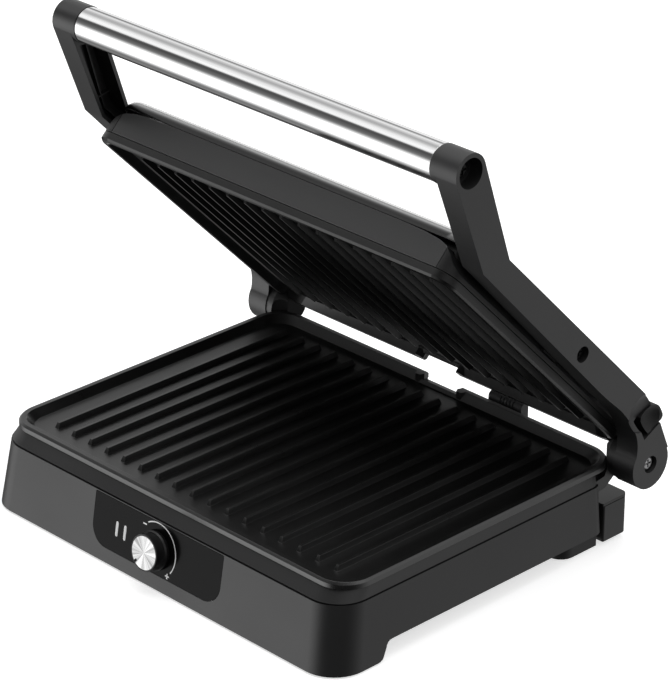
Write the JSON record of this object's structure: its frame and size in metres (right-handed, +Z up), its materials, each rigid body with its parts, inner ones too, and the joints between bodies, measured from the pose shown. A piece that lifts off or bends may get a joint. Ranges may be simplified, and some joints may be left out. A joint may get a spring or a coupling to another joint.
{
  "type": "panini press",
  "caption": "Contact grill with a flared base, ribbed plates, a steel-topped floating lid between two arms, a tube handle, a dial and a drip tray.",
  "frame": {"origin": "on the table, under the middle of the bounding box", "axes": "+X to the machine's right across the plates as seen from the front, +Y to the rear where the hinge is, +Z up; the dial faces -Y"},
  "size_m": [0.3386, 0.2774, 0.3056],
  "materials": {
    "charcoal_plastic": "satin moulded, faint grain",
    "dark_plastic": "matte",
    "gloss_plastic": "polished",
    "nonstick_plate": "cast, black non-stick coating, satin",
    "handle_steel": "polished tube",
    "cover_steel": "brushed",
    "spun_steel": "spun in circles",
    "reflector_steel": "mill",
    "zinc_steel": "zinc plated",
    "rubber": "matte",
    "lamp_lens": "clear white",
    "phenolic": "moulded"
  },
  "bodies": {
    "base": {"base_housing": "charcoal_plastic", "base_frame": "charcoal_plastic", "bottom_cover": "dark_plastic", "front_left_foot": "rubber", "rear_left_foot": "rubber", "front_right_foot": "rubber", "rear_right_foot": "rubber", "lower_grill_plate": "nonstick_plate", "lower_heating_rod": "zinc_steel", "lower_reflector": "reflector_steel", "rear_shelf": "charcoal_plastic", "lead_boot": "rubber", "cord_gland": "rubber", "terminal_block": "phenolic", "hinge_screw_left": "zinc_steel", "hinge_screw_right": "zinc_steel", "control_panel": "gloss_plastic", "power_lamp": "lamp_lens", "ready_lamp": "lamp_lens", "lamp_board": "phenolic", "thermostat_body": "zinc_steel"},
    "tray": {"drip_tray": "charcoal_plastic"},
    "arms": {"left_arm": "charcoal_plastic", "right_arm": "charcoal_plastic", "pivot_pin_left": "zinc_steel", "pivot_pin_right": "zinc_steel", "handle_screw_left": "zinc_steel", "handle_screw_right": "zinc_steel", "handle_tube": "handle_steel", "handle_tie_rod": "zinc_steel"},
    "release": {"release_button": "dark_plastic"},
    "lid": {"upper_grill_plate": "nonstick_plate", "lid_frame": "charcoal_plastic", "lid_fascia": "charcoal_plastic", "lid_cover": "cover_steel", "upper_heating_rod": "zinc_steel", "upper_reflector": "reflector_steel"},
    "knob": {"thermostat_knob": "gloss_plastic", "knob_face": "spun_steel", "knob_shaft": "zinc_steel"}
  },
  "joints": [
    {"name": "lid_hinge", "type": "hinge", "parent": "base", "child": "arms", "pos_m": [0, 0.1212, 0.056], "axis": [-1, 0, 0], "range_deg": [-45.4, 128]},
    {"name": "lid_pivot", "type": "hinge", "parent": "arms", "child": "lid", "pos_m": [0, 0.0555, 0.1518], "axis": [1, 0, 0], "range_deg": [0, 8]},
    {"name": "release_press", "type": "slide", "parent": "arms", "child": "release", "axis": [0, -0.894, -0.448], "range_m": [0, 0.004], "stiffness_N_per_m": 600},
    {"name": "knob_turn", "type": "hinge", "parent": "base", "child": "knob", "pos_m": [0, -0.12721, 0.0253], "axis": [0, 0.9859, -0.1676], "range_deg": [0, 270]},
    {"name": "tray_slide", "type": "slide", "parent": "base", "child": "tray", "axis": [1, 0, 0], "range_m": [0, 0.14]}
  ]
}
